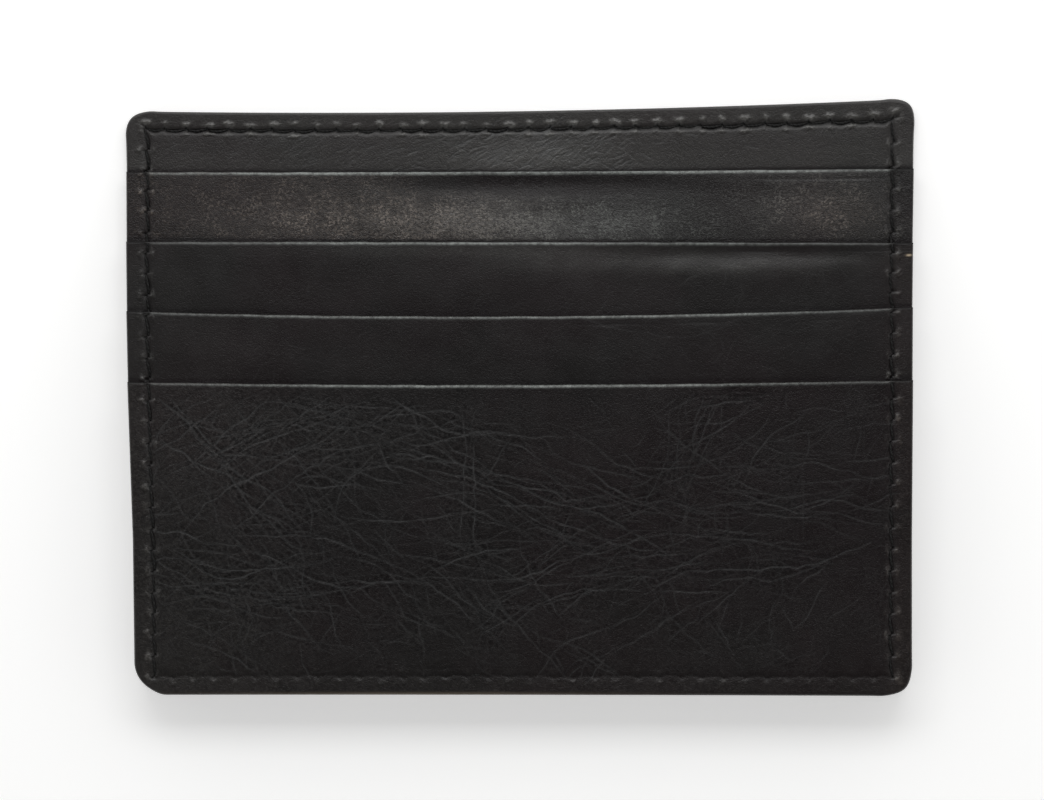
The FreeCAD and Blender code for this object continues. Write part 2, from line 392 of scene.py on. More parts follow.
def draw_family(canvas, random, grain, family):
    """Draws a family of creases. Each fades at its ends and varies along its length."""
    centre, spread, direction, turn_spread, count, length, strength = family
    for _ in range(count):
        middle = np.array(centre) + random.normal(0, 1, 2) * spread
        angle = math.radians(direction + random.normal(0, turn_spread))
        path = grain.follow(bowed_curve(random, middle, angle, length * random.uniform(0.5, 1.5)))
        fade = np.sin(np.linspace(0.12, math.pi - 0.12, len(path))) ** 0.6
        uneven = 0.7 + 0.3 * np.sin(np.cumsum(random.normal(0, 0.25, len(path))))
        canvas.stamp(path, strength * random.uniform(0.3, 1.0) * fade * uneven, CREASE_WIDTH)


def draw_net(canvas, grain, strength, seed):
    """Draws the fine lines of the grain, clearer in some patches than in others."""
    ends = grain.corners[np.array(grain.links)]
    share = np.linspace(0, 1, 9)[None, :, None]
    points = (ends[:, :1] * (1 - share) + ends[:, 1:] * share).reshape(-1, 2)
    clear = np.clip(0.35 + 0.8 * waves(points[:, 0], points[:, 1], (7.0, 13.0), seed), 0, 1)
    canvas.stamp(points, strength * clear, NET_WIDTH)


def averaged(values, reach, axis):
    """Values averaged along one axis over a reach either way."""
    margins = [(0, 0), (0, 0)]
    margins[axis] = (reach + 1, reach)
    sums = np.cumsum(np.pad(values, margins, mode="edge"), axis)
    ahead = np.take(sums, range(2 * reach + 1, sums.shape[axis]), axis)
    behind = np.take(sums, range(sums.shape[axis] - 2 * reach - 1), axis)
    return (ahead - behind) / (2 * reach + 1)


def crowding(canvas):
    """How crowded with creases each place is: the canvas averaged over a square, 0 to about 1."""
    reach = int(CROWD_REACH / CANVAS_STEP)
    crowded = copy.copy(canvas)
    crowded.values = averaged(averaged(canvas.values, reach, 0), reach, 1) * CROWDING_GAIN
    return crowded


def crease_canvas(bottom, top, families, seed, cell, net):
    """A canvas between two heights with all of a piece's creases and the net of its grain."""
    low, high = (-HALF_WIDTH, bottom), (HALF_WIDTH, top)
    canvas = Canvas(low, high)
    random = np.random.default_rng(seed)
    grain = Grain(low, high, cell, seed)
    draw_net(canvas, grain, net, seed)
    for family in families:
        draw_family(canvas, random, grain, family)
    return canvas


# ---- the seam

# The trough that the thread pulls into the leather, deeper at the holes, and the wider dip round it, in mm.
TROUGH_DEPTH, HOLE_DEPTH, TROUGH_WIDTH = 0.19, 0.16, 0.30
DIP_DEPTH, DIP_WIDTH = 0.05, 1.3

# For the top row, the sides and the bottom row: how much of the trough there is, the height of the tucks in
# mm, how strong the painted highlights on the tucks are, how much paler the pressed margin is painted and how
# dark the painted shade in the groove is.
SUNK = (1.0, 0.7, 0.28)
TUCK_HEIGHT = (0.26, 0.22, 0.07)
TUCK_HIGHLIGHT = (2.2, 0.75, 0.12)
PRESSED = (0.09, 0.05, 0.05)
GROOVE_DARK = (0.9, 0.6, 0.22)


def even_pitch(length):
    """The stitch length that fits a whole number of stitches into a side of the seam."""
    return length / round(length / STITCH_PITCH)


def past_rows(y):
    """How far outside the nearer of the top and bottom rows of stitches a point is."""
    return np.maximum(y - SEAM_TOP, SEAM_BOTTOM - y)


def by_the_side(x, y):
    """Whether a side of the seam is nearer than its top or bottom row."""
    return np.abs(x) - SEAM_X >= past_rows(y)


def seam_coordinates(x, y):
    """Distance from the seam line (positive outside it), and how many stitches along its side a point is."""
    across = np.maximum(np.abs(x) - SEAM_X, past_rows(y))
    up = (y - SEAM_BOTTOM) / even_pitch(SEAM_TOP - SEAM_BOTTOM)
    along = np.where(by_the_side(x, y), up, (x + SEAM_X) / even_pitch(2 * SEAM_X))
    return across, along


def side_factor(x, y, top, sides, bottom):
    """One value for the top row of the seam, one for both sides and one for the bottom row."""
    return np.where(by_the_side(x, y), sides, np.where(y > 0, top, bottom)).astype(float)


def stitch_random(along, side, seed):
    """A random number from 0 to 1 for the needle hole nearest to each point of the seam."""
    table = np.random.default_rng(seed).uniform(0, 1, 256)
    hole = np.round(along).astype(int)
    return table[(hole + 57 * side) % len(table)]


def stitch_bow(share, slant, sag):
    """How far in from the straight seam a stitch lies, at a share of its way from hole to hole."""
    return slant * (share - 0.5) + sag * np.sin(share * math.pi)


def seam_wander(x, y):
    """How far the sewn line strays from straight."""
    return SEAM_STRAY * waves(x, y, (5.0, 9.0, 23.0), 17)


def wandering_seam(x, y):
    """Distance from the stitches themselves, which lean and sag between the holes."""
    across, along = seam_coordinates(x, y)
    by_side = by_the_side(x, y)
    share = along % 1
    share = np.where(np.where(by_side, x > 0, y < 0), share, 1 - share)
    bow = np.where(by_side, stitch_bow(share, *SIDE_STITCH), stitch_bow(share, *ROW_STITCH))
    return across + bow + seam_wander(x, y)


def tuck_field(x, y):
    """Small raised tucks beside each needle hole, uneven from hole to hole, 0 to 1."""
    across, along = seam_coordinates(x, y)
    side = np.where(by_the_side(x, y), 0, 1) + 2 * (y > 0) + 4 * (x > 0)
    offset = (stitch_random(along, side, 3) - 0.5) * 0.5
    from_hole = (along + 0.5) % 1 - 0.5
    ragged = 0.22 * waves(x, y, (0.5, 0.8, 1.7), 41)
    length = 0.3 + 0.35 * stitch_random(along, side, 8)
    near = bell(from_hole * STITCH_PITCH - offset + ragged, length)
    out = 0.55 + 0.3 * stitch_random(along, side, 4) + ragged
    outer = bell(across - out, 0.24) * (0.35 + 0.65 * stitch_random(along, side, 5))
    inner = bell(across + out, 0.20) * stitch_random(along, side, 6)
    return near * (outer + 0.7 * inner) * (0.8 + 0.5 * waves(x, y, (0.45, 0.7), 42))


def seam_relief(x, y):
    """How the stitches pull the leather down along the seam and tuck it beside the holes."""
    across, along = seam_coordinates(x, y)
    thread = bell(wandering_seam(x, y), TROUGH_WIDTH)
    trough = -TROUGH_DEPTH * thread * (1 + 0.35 * waves(x, y, (1.7, 3.3), 43))
    holes = -HOLE_DEPTH * thread * np.clip(np.cos(along * math.tau), 0, 1) ** 3
    dip = -DIP_DEPTH * bell(across, DIP_WIDTH)
    tucks = side_factor(x, y, *TUCK_HEIGHT) * tuck_field(x, y)
    return (trough + holes) * side_factor(x, y, *SUNK) + dip + tucks


# ---- grids and outlines of the leather


def inside_distance(x, y, low, high, lower_radius, upper_radius):
    """Distance in from the outline of a sheet that spans the holder from low to high."""
    middle, half = (low + high) / 2, (high - low) / 2
    radius = np.where(y < middle, lower_radius, upper_radius)
    over_x = np.abs(x) - HALF_WIDTH + radius
    over_y = np.abs(y - middle) - half + radius
    corner = np.hypot(np.maximum(over_x, 0), np.maximum(over_y, 0))
    return radius - corner - np.minimum(np.maximum(over_x, over_y), 0)


def rounded_off(distance, radius):
    """How far a rounded rim or corner has fallen back, at a distance in from where it ends."""
    near = np.clip(radius - distance, 0, radius)
    return radius - np.sqrt(radius**2 - near**2)


def row_lines(low, high, seen_from):
    """Row positions of a sheet: fine where it is seen, coarse where other panels cover it."""
    seen = np.arange(high - RIM_STEPS[-1] - FINE_STEP, max(seen_from, low + 0.4), -FINE_STEP)
    hidden = np.arange(low + RIM_STEPS[-1] + FINE_STEP, seen_from - FINE_STEP, COARSE_STEP)
    rims = [low + step for step in RIM_STEPS] + [high - step for step in RIM_STEPS]
    return np.unique(np.round(np.concatenate([seen, hidden, rims]), 4))


def column_lines():
    """Column positions of a sheet across the whole holder."""
    middle = np.linspace(
        -HALF_WIDTH + RIM_STEPS[-1] + FINE_STEP,
        HALF_WIDTH - RIM_STEPS[-1] - FINE_STEP,
        int(2 * HALF_WIDTH / FINE_STEP),
    )
    rims = [-HALF_WIDTH + step for step in RIM_STEPS] + [HALF_WIDTH - step for step in RIM_STEPS]
    return np.sort(np.concatenate([middle, rims]))


def row_half_width(y, half, low, high, corners):
    """Half the width of a sheet at a height, less where its lower and upper corners are rounded."""
    return half - rounded_off(y - low, corners[0]) - rounded_off(high - y, corners[1])


def sheet_grid(low, high, seen_from, corners):
    """Grid positions over a sheet, drawn in at its rounded corners."""
    ys = row_lines(low[1], high[1], seen_from)
    widths = row_half_width(ys, HALF_WIDTH, low[1], high[1], corners)
    grid_x = column_lines()[None, :] / HALF_WIDTH * widths[:, None]
    grid_y = np.repeat(ys[:, None], grid_x.shape[1], axis=1)
    return grid_x, grid_y


# ---- meshes


def new_object(name, vertices, faces, material):
    """An object from vertices in millimetres."""
    mesh = bpy.data.meshes.new(name)
    mesh.from_pydata((np.asarray(vertices) * MM).tolist(), [], faces)
    mesh.update()
    mesh.polygons.foreach_set("use_smooth", np.ones(len(mesh.polygons), bool))
    mesh.materials.append(material)
    thing = bpy.data.objects.new(name, mesh)
    bpy.context.scene.collection.objects.link(thing)
    return thing


def add_field(thing, name, values):
    """Stores a value per vertex for the material to read."""
    attribute = thing.data.attributes.new(name, "FLOAT", "POINT")
    attribute.data.foreach_set("value", np.asarray(values, np.float32))


def stand_in(thing, part):
    """The piece stands for a CAD part and rides on the holder."""
    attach(thing, "root")
    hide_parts(part)


def loop_normals(loop):
    """Outward directions round a closed loop that runs anticlockwise."""
    along = np.roll(loop, -1, axis=0) - np.roll(loop, 1, axis=0)
    along /= np.maximum(np.linalg.norm(along, axis=1, keepdims=True), 1e-9)
    return np.stack([along[:, 1], -along[:, 0]], axis=1)


def wall_rings(loop, top, bottom):
    """Rings of points from the edge of a sheet's face down its side and under it."""
    normals = loop_normals(loop)
    rim = WALL_RIM
    rings = (
        (loop + normals * EDGE_BULGE, (top + bottom) / 2),
        (loop, bottom + rim),
        (loop - normals * rim * 0.3, bottom + rim * 0.3),
        (loop - normals * rim, bottom),
    )
    return [np.column_stack([flat, level * np.ones(len(loop))]) for flat, level in rings]


def ring_faces(upper, lower):
    """Quads between two rings of vertices."""
    quads = np.stack([upper, lower, np.roll(lower, -1), np.roll(upper, -1)], axis=1)
    return [tuple(q) for q in quads.tolist()]


def round_edge(grid):
    """The values round the edge of a grid, anticlockwise from its lower left corner."""
    return np.concatenate([grid[0, :-1], grid[:-1, -1], grid[-1, :0:-1], grid[:0:-1, 0]])


def grid_boundary(rows, columns):
    """Indices round the edge of a grid of points."""
    return round_edge(np.arange(rows * columns).reshape(rows, columns))


def grid_faces(rows, columns):
    """Quads of a grid of points, facing up."""
    index = np.arange(rows * columns).reshape(rows, columns)
    quads = np.stack([index[:-1, :-1], index[:-1, 1:], index[1:, 1:], index[1:, :-1]], axis=-1)
    return [tuple(q) for q in quads.reshape(-1, 4).tolist()]


def side_faces(boundary, first, rings):
    """Quads down the side of a sheet from its boundary."""
    count = len(boundary)
    loops = [boundary] + [first + ring * count + np.arange(count) for ring in range(rings)]
    return [face for upper, lower in zip(loops, loops[1:]) for face in ring_faces(upper, lower)]


def underside(shape, boundary, last_ring, first, place_of):
    """A coarser underside: its points inside the last ring of the wall, and its faces."""
    rows, columns = shape
    coarse_rows = np.append(np.arange(0, rows - 1, UNDERSIDE_SKIP), rows - 1)
    coarse_columns = np.append(np.arange(0, columns - 1, UNDERSIDE_SKIP), columns - 1)
    index = np.full(shape, -1)
    index.ravel()[boundary] = last_ring + np.arange(len(boundary))
    inner = [(r, c) for r in coarse_rows[1:-1] for c in coarse_columns[1:-1]]
    for count, (r, c) in enumerate(inner):
        index[r, c] = first + count
    points = [place_of(r, c) for r, c in inner]
    faces = []
    for r0, r1 in zip(coarse_rows, coarse_rows[1:]):
        for c0, c1 in zip(coarse_columns, coarse_columns[1:]):
            loop = round_edge(index[r0 : r1 + 1, c0 : c1 + 1])
            faces.append(tuple(int(i) for i in loop[loop >= 0][::-1]))
    return points, faces


def leather_sheet(name, part, seen_from, relief, material, corners, face_down=False):
    """A leather sheet: a finely gridded face with relief and rounded rims, its side and plain underside."""
    low, high = cad(part)
    grid_x, grid_y = sheet_grid(low, high, seen_from, corners)
    x, y = grid_x.ravel(), grid_y.ravel()
    edge = np.clip(inside_distance(x, y, low[1], high[1], *corners), 0, None)
    top, bottom = (-low[2], -high[2]) if face_down else (high[2], low[2])
    rim = min(RIM_RADIUS, (top - bottom) * 0.6)
    deepest = bottom + THINNEST - top
    z = top - rounded_off(edge, rim) + np.maximum(relief(x, y), deepest) * smooth(edge, 0.0, 0.35)
    face = np.column_stack([x, y, z])
    boundary = grid_boundary(*grid_x.shape)
    rings = wall_rings(face[boundary, :2], z[boundary], bottom)
    last_ring = len(face) + (len(rings) - 1) * len(boundary)
    under, under_faces = underside(
        grid_x.shape,
        boundary,
        last_ring,
        last_ring + len(boundary),
        lambda row, column: (grid_x[row, column], grid_y[row, column], bottom),
    )
    points = np.concatenate([face] + rings + [np.array(under)])
    points[:, :2] = ease(points[:, :2])
    faces = grid_faces(*grid_x.shape) + side_faces(boundary, len(face), len(rings)) + under_faces
    if face_down:
        points[:, 2] *= -1
        faces = [tuple(reversed(f)) for f in faces]
    return new_object(name, points, faces, material), x, y, edge


def thin_sheet(part, half, corners, step=2.0):
    """A thin plain sheet: both faces gridded so that they ease with the leather, and its side."""
    low, high = cad(part)
    rows = int((high[1] - low[1]) / step)
    share = np.linspace(0, 1, rows)
    ys = np.sort(low[1] + (high[1] - low[1]) * (0.5 - 0.5 * np.cos(share * math.pi)))
    widths = row_half_width(ys, half, low[1], high[1], corners)
    grid_x = np.linspace(-1, 1, int(2 * half / step))[None, :] * widths[:, None]
    flat = ease(np.column_stack([grid_x.ravel(), np.repeat(ys, grid_x.shape[1])]))
    top = np.column_stack([flat, np.full(len(flat), high[2])])
    under = np.column_stack([flat, np.full(len(flat), low[2])])
    faces = grid_faces(*grid_x.shape)
    faces += [tuple(i + len(flat) for i in reversed(f)) for f in faces]
    boundary = grid_boundary(*grid_x.shape)
    for here, following in zip(boundary.tolist(), np.roll(boundary, -1).tolist()):
        faces.append((here, here + len(flat), following + len(flat), following))
    return np.concatenate([top, under]), faces


def arc(centre, radius, start, end, count):
    """Points along an arc, angles in degrees."""
    angles = np.radians(np.linspace(start, end, count))
    return np.column_stack([centre[0] + radius * np.cos(angles), centre[1] + radius * np.sin(angles)])


def u_path(half, low, high, radius):
    """Points down one side, across the bottom and up the other side of a filler."""
    leg, bend, bar = 24, 12, 60
    side = np.linspace(high, low + radius, leg)
    across = np.linspace(-half + radius, half - radius, bar)
    return np.concatenate([
        np.column_stack([np.full(leg, -half), side]),
        arc((-half + radius, low + radius), radius, 180, 270, bend),
        np.column_stack([across, np.full(bar, low)]),
        arc((half - radius, low + radius), radius, 270, 360, bend),
        np.column_stack([np.full(leg, half), side[::-1]]),
    ])


def filler_mesh(part, floor):
    """A U-shaped filler, swept from its outer path to its inner path with rounded rims."""
    low, high = cad(part)
    rim = FILLER_RIM
    outer = u_path(HALF_WIDTH, low[1], high[1], LOWER_RADIUS)
    inner = u_path(CARD_ROOM / 2, floor, high[1], FILLER_BEND)
    outward = outer - inner
    outward /= np.linalg.norm(outward, axis=1, keepdims=True)
    profile = (
        (outer, -rim, high[2]),
        (outer, 0, high[2] - rim),
        (outer, 0, low[2] + rim),
        (outer, -rim, low[2]),
        (inner, rim, low[2]),
        (inner, 0, low[2] + rim),
        (inner, 0, high[2] - rim),
        (inner, rim, high[2]),
    )
    tracks = [
        np.column_stack([path + outward * shift, np.full(len(path), level)])
        for path, shift, level in profile
    ]
    points = np.stack(tracks, axis=1).reshape(-1, 3)
    points[:, :2] = ease(points[:, :2])
    return points, tube_faces(0, len(outer), len(profile))


# ---- nodes of a material


def new_material(name):
    """A material with only a shader in it: the material, its node tree and the shader."""
    material = bpy.data.materials.new(name)
    material.use_nodes = True
    tree = material.node_tree
    tree.nodes.clear()
    output = tree.nodes.new("ShaderNodeOutputMaterial")
    shader = tree.nodes.new("ShaderNodeBsdfPrincipled")
    tree.links.new(shader.outputs[0], output.inputs["Surface"])
    return material, tree, shader


def fill(made, **inputs):
    """Sets or links inputs by name, with spaces as underscores, or by number as i0, i1 and so on."""
    for key, value in inputs.items():
        numbered = key[0] == "i" and key[1:].isdigit()
        socket = made.inputs[int(key[1:]) if numbered else key.replace("_", " ")]
        if isinstance(value, bpy.types.NodeSocket):
            made.id_data.links.new(value, socket)
        else:
            socket.default_value = value
    return made


def node(tree, kind, settings=None, **inputs):
    """Adds a node, sets its properties and fills its inputs."""
    made = tree.nodes.new(kind)
    for key, value in (settings or {}).items():
        setattr(made, key, value)
    return fill(made, **inputs)


def maths(tree, operation, first, second=0.0, clamp=False):
    """A maths node's result."""
    settings = {"operation": operation, "use_clamp": clamp}
    return node(tree, "ShaderNodeMath", settings, i0=first, i1=second).outputs[0]


def times(tree, first, second, clamp=False):
    """Two values multiplied."""
    return maths(tree, "MULTIPLY", first, second, clamp)


def field(tree, name):
    """A value stored on the vertices."""
    return node(tree, "ShaderNodeAttribute", {"attribute_name": name}).outputs["Fac"]


def place(tree):
    """Position on the object."""
    return node(tree, "ShaderNodeTexCoord").outputs["Object"]


def texture(tree, kind, size, settings=None, where=None, **inputs):
    """A texture node with features of about a size in millimetres."""
    scale = 1 / (size * MM)
    return node(tree, "ShaderNodeTex" + kind, settings, Vector=where or place(tree), Scale=scale, **inputs)


def noise(tree, size, detail=2.0, rough=0.5):
    """Noise with features of about the given size in millimetres."""
    return texture(tree, "Noise", size, Detail=detail, Roughness=rough).outputs["Fac"]


def remap(tree, value, low, high, to_low=0.0, to_high=1.0):
    """A value stretched from one range to another and clamped."""
    ends = {"From_Min": low, "From_Max": high, "To_Min": to_low, "To_Max": to_high}
    return node(tree, "ShaderNodeMapRange", Value=value, **ends).outputs["Result"]


def mix_colour(tree, factor, first, second):
    """A mix of two colours, each a socket or red, green and blue."""
    first, second = (value + (1.0,) if isinstance(value, tuple) else value for value in (first, second))
    return node(tree, "ShaderNodeMix", {"data_type": "RGBA"}, i0=factor, i6=first, i7=second).outputs[2]


def add_bump(tree, shader, height, strength, depth):
    """Bump of a depth in millimetres."""
    bump = node(tree, "ShaderNodeBump", Height=height, Strength=strength, Distance=depth * MM)
    fill(shader, Normal=bump.outputs["Normal"])


def crackle(tree, size):
    """Thin lines round cells of the grain, 1 on a line and 0 off it."""
    wander = texture(tree, "Noise", size * 1.7).outputs["Color"]
    shift = node(tree, "ShaderNodeVectorMath", {"operation": "SCALE"}, i0=wander, Scale=size * 0.9 * MM)
    moved = node(tree, "ShaderNodeVectorMath", {"operation": "ADD"}, i0=place(tree), i1=shift.outputs[0])
    cells = texture(tree, "Voronoi", size, {"feature": "DISTANCE_TO_EDGE"}, moved.outputs[0])
    return remap(tree, cells.outputs["Distance"], 0.0, 0.09, 1.0, 0.0)


# ---- materials

BLACK = (0.0058, 0.0045, 0.0047)
PURPLE_BLACK = (0.0078, 0.0045, 0.0053)
CREASE_GREY = (0.061, 0.062, 0.063)
# Painted sheen: olive and brown colours that stand in for light reflected off the leather.
PAINTED_SHEEN_OLIVE = (0.085, 0.088, 0.082)
PAINTED_SHEEN_BROWN = (0.190, 0.155, 0.132)
# Painted highlight along the rims of the mouths.
RIM_HIGHLIGHT_GREY = (0.225, 0.24, 0.23)
# Painted shade in pits among the creases, in the seam's groove and on the mouth rims beyond the seam.
PAINTED_SHADE_BLACK = (0.0015, 0.0014, 0.0015)
BARE_LEATHER = (0.42, 0.34, 0.24)
LINING_BLACK = (0.014, 0.014, 0.015)
CORE_BROWN = (0.035, 0.032, 0.028)
PAINT_COLOURS = ((0.012, 0.011, 0.010), (0.035, 0.031, 0.028))
THREAD_COLOURS = ((0.0035, 0.0034, 0.0034), (0.013, 0.013, 0.0125))
# How much the painted sheen colour covers the black.
PAINTED_SHEEN_COVER = 0.6
PLAIN_SHINE = 0.38


def leather_material(name, fleck_depth, grain, gloss=0.5, domes=0.2):
    """Smooth black leather: creases, fine grain, patches of painted sheen, a pale painted highlight on the
    rims, painted shade in pits and in the seam, and pores.
    """
    material, tree, shader = new_material(name)
    line, painted_sheen, painted_rim_highlight, groove, bare = (field(tree, key) for key in ("line", "painted_sheen", "painted_rim_highlight", "groove", "bare"))
    cells = crackle(tree, 0.7)
    fine_lines = times(tree, times(tree, cells, remap(tree, noise(tree, 5.0, 3.0), 0.42, 0.68)), 0.12)
    lines = maths(tree, "MAXIMUM", line, fine_lines, clamp=True)
    # The black under its painted sheen.
    sheened = ground_under_painted_sheen(tree, painted_sheen, fleck_depth)
    # Painted shade: dark pits where the creases crowd, together with the painted shade of the groove field.
    pit_shade = remap(tree, noise(tree, 0.42, 2.0, 0.6), 0.58, 0.44)
    painted_shade = maths(tree, "MAXIMUM", times(tree, pit_shade, field(tree, "crowd")), groove, clamp=True)
    shade_painted = mix_colour(tree, painted_shade, sheened, PAINTED_SHADE_BLACK)
    creased = mix_colour(tree, times(tree, lines, 1.15, clamp=True), shade_painted, CREASE_GREY)
    # Painted highlight along the rims of the mouths, beaded.
    beads = remap(tree, noise(tree, 0.55, 3.0, 0.6), 0.36, 0.62, 0.45, 1.15)
    rim_highlighted = mix_colour(tree, times(tree, painted_rim_highlight, beads, clamp=True), creased, RIM_HIGHLIGHT_GREY)
    shine = times(
        tree,
        remap(tree, painted_sheen, 0.0, 0.9, PLAIN_SHINE, PLAIN_SHINE + gloss),
        remap(tree, painted_shade, 0.0, 1.0, 1.0, 0.2),
    )
    fill(
        shader,
        Base_Color=mix_colour(tree, bare, rim_highlighted, BARE_LEATHER),
        Roughness=remap(tree, noise(tree, 3.0, 4.0), 0.3, 0.7, 0.37, 0.44),
        Specular_IOR_Level=shine,
    )
    add_bump(tree, shader, leather_height(tree, cells, lines, painted_sheen, domes), grain, 0.05)
    return material


def ground_under_painted_sheen(tree, painted_sheen, fleck_depth):
    """The black of the leather under a painted sheen, olive or brown, flecked and specked with painted
    glints.
    """
    ground = mix_colour(tree, remap(tree, noise(tree, 16.0, 3.0), 0.4, 0.62), BLACK, PURPLE_BLACK)
    depth = 0.7 * fleck_depth
    fleck = remap(tree, noise(tree, 0.42, 4.0, 0.7), 0.42, 0.64, 1 - depth, 1 + depth)
    speck = remap(tree, noise(tree, 0.30, 2.0, 0.6), 0.53, 0.61, 0.0, 3.2 * fleck_depth**2)
    specks = times(tree, speck, remap(tree, noise(tree, 2.6, 2.0), 0.43, 0.58))
    cover = times(tree, maths(tree, "ADD", fleck, specks), PAINTED_SHEEN_COVER)
    colour = mix_colour(tree, field(tree, "warm"), PAINTED_SHEEN_OLIVE, PAINTED_SHEEN_BROWN)
    return mix_colour(tree, times(tree, painted_sheen, cover, clamp=True), ground, colour)


def leather_height(tree, cells, lines, painted_sheen, domes):
    """The grain that is too fine for the mesh: pebbles, pores and the lips of the fine lines."""
    swell = noise(tree, 0.55, 3.0, 0.6)
    pores = remap(tree, noise(tree, 0.18, 1.5), 0.34, 0.50, -0.35 - 0.5 * domes, 0.0)
    pebbles = texture(tree, "Voronoi", 0.5, {"feature": "SMOOTH_F1"}).outputs["Distance"]
    clear = maths(tree, "ADD", remap(tree, noise(tree, 3.2, 2.0), 0.42, 0.6), painted_sheen, clamp=True)
    dome = times(tree, times(tree, pebbles, clear), -1.3 * domes)
    height = maths(tree, "ADD", times(tree, swell, 0.9), maths(tree, "ADD", pores, dome))
    height = maths(tree, "SUBTRACT", height, times(tree, cells, 0.15))
    return maths(tree, "SUBTRACT", height, times(tree, lines, 0.5))


def ribs(tree, spacing, distortion):
    """Diagonal ribs of a weave or a twist."""
    settings = {"bands_direction": "DIAGONAL"}
    return texture(tree, "Wave", spacing, settings, Distortion=distortion).outputs["Fac"]


def fabric_material(name, colour, pitch):
    """A fine twill: diagonal ribs with threads across them."""
    material, tree, shader = new_material(name)
    height = maths(tree, "ADD", ribs(tree, pitch * 3.2, 0.6), noise(tree, pitch, 3.0))
    light = tuple(channel * 1.7 for channel in colour)
    mixed = mix_colour(tree, remap(tree, height, 0.6, 1.5), colour, light)
    fill(shader, Base_Color=mixed, Roughness=0.85, Sheen_Weight=0.3)
    add_bump(tree, shader, height, 0.5, 0.06)
    return material


def edge_leather_material(name):
    """Black leather seen on its painted edge: fine fibres under a satin paint."""
    material, tree, shader = new_material(name)
    fibres = noise(tree, 0.35, 4.0, 0.7)
    bare = times(tree, remap(tree, fibres, 0.45, 0.75), remap(tree, noise(tree, 4.0, 2.0), 0.35, 0.65))
    rough = remap(tree, fibres, 0.3, 0.7, 0.42, 0.62)
    fill(shader, Base_Color=mix_colour(tree, bare, *PAINT_COLOURS), Roughness=rough)
    add_bump(tree, shader, fibres, 0.5, 0.05)
    return material


def thread_material():
    """Black bonded thread: twisted plies with a low sheen."""
    material, tree, shader = new_material("thread")
    height = maths(tree, "ADD", ribs(tree, 0.9, 1.0), noise(tree, 0.12, 2.0))
    colour = mix_colour(tree, remap(tree, height, 0.5, 1.5), *THREAD_COLOURS)
    fill(shader, Base_Color=colour, Roughness=0.7, Specular_IOR_Level=0.25)
    add_bump(tree, shader, height, 0.6, 0.06)
    return material


# ---- how worn and hazy the leather is

# Patches of painted sheen: centre, spread and strength. A negative one takes painted sheen away, which paints
# shade.
FRONT_PATCH = ((-26, -5), (16, 5), 0.05)
FACE_PATCH = ((2.5, 32), (10, 2.4), 0.36)
# Broad patches of painted sheen on the first slot panel.
SLOT_ONE_PAINTED_SHEEN = (
    ((-2, 22.8), (15, 2.8), 0.78),
    ((-25, 23.5), (13, 4), 0.22),
)
# A band of painted sheen on the right of the second slot panel.
PAINTED_SHEEN_BAND = ((26, 17.6), (18, 1.3), 0.3)
# The negative patch on the first slot panel paints shade in the hollow below its mouth.
SLOT_PATCHES = {
    1: (((38, 25), (8, 3.4), 0.26), ((15, 22.8), (7, 2.2), 0.35), ((4, 27.9), (15, 1.3), -0.4)),
    2: (((-44, 16), (7, 6), 0.06), ((-4, 19.4), (20, 0.9), 0.26), ((4, 18), (9, 1.5), 0.14)),
    3: (((-44, 7), (9, 8), 0.06),),
}

# Hollows that cards have left just below the mouths: centre, spread and height.
SLOT_DENTS = {
    1: (((3, 27.9), (16, 1.5), -0.28), ((30, 28.2), (9, 1.2), 0.06)),
    2: (((29, 19.0), (19, 1.3), -0.2),),
    3: (),
}

# The painted highlight along the rim of a mouth: its width and how strong it is on each panel.
RIM_HIGHLIGHT_WIDTH = 0.17
RIM_HIGHLIGHT_STRENGTH = {1: 2.0, 2: 1.0, 3: 1.0, 4: 1.05}


def panel_fields(x, y, number, lines, painted_sheen, warm):
    """The values that the leather material reads at each point of a panel's face."""
    below = MOUTHS[number - 1] - y
    # Painted highlight along the rim of the mouth, uneven and fading towards the ends.
    uneven = 0.75 + 0.35 * waves(x, y, (1.3, 2.9, 11.0, 23.0), 5)
    inside = smooth(HALF_WIDTH - np.abs(x), 1.8, 3.2) * (0.2 + 0.8 * np.exp(-((x / 38) ** 4)))
    painted_rim_highlight = bell(below - RIM_HIGHLIGHT_WIDTH, RIM_HIGHLIGHT_WIDTH) * uneven * (RIM_HIGHLIGHT_STRENGTH[number] * inside)
    # Painted shadow of the mouth's step where it crosses the margins beyond the seam.
    painted_rim_shadow = 0.9 * bell(below, 0.22) * smooth(np.abs(x), SEAM_X - 0.6, SEAM_X + 0.4)
    fields = {"painted_sheen": painted_sheen, "warm": warm, "painted_rim_highlight": painted_rim_highlight, "groove": painted_rim_shadow}
    return {"line": lines} | {name: np.clip(values, 0, 1) for name, values in fields.items()}


def store_fields(thing, x, y, fields):
    """Stores the face's values. The side and the underside get none."""
    # The groove field is painted shade: in the seam and on the mouth rims beyond it.
    fields["groove"] = np.maximum(fields.get("groove", 0), groove_shade(x, y))
    for name, values in fields.items():
        full = np.zeros(len(thing.data.vertices))
        full[: len(values)] = values
        add_field(thing, name, full)


def margin_paleness_and_highlights(x, y):
    """The pressed margin outside the seam is painted a little paler, and the tucks get a painted highlight.
    """
    across = seam_coordinates(x, y)[0]
    pressed = side_factor(x, y, *PRESSED) * smooth(across, -0.2, 0.8)
    return pressed + side_factor(x, y, *TUCK_HIGHLIGHT) * tuck_field(x, y)


def groove_shade(x, y):
    """Painted shade in the groove of the seam, darker at the holes."""
    along = seam_coordinates(x, y)[1]
    hole = 0.35 * np.clip(np.cos(along * math.tau), 0, 1)
    uneven = 0.8 + 0.5 * waves(x, y, (1.3, 2.9), 44)
    dark = 1.1 * bell(wandering_seam(x, y), 0.25) * (uneven + hole)
    return np.clip(dark, 0, 1) * side_factor(x, y, *GROOVE_DARK)


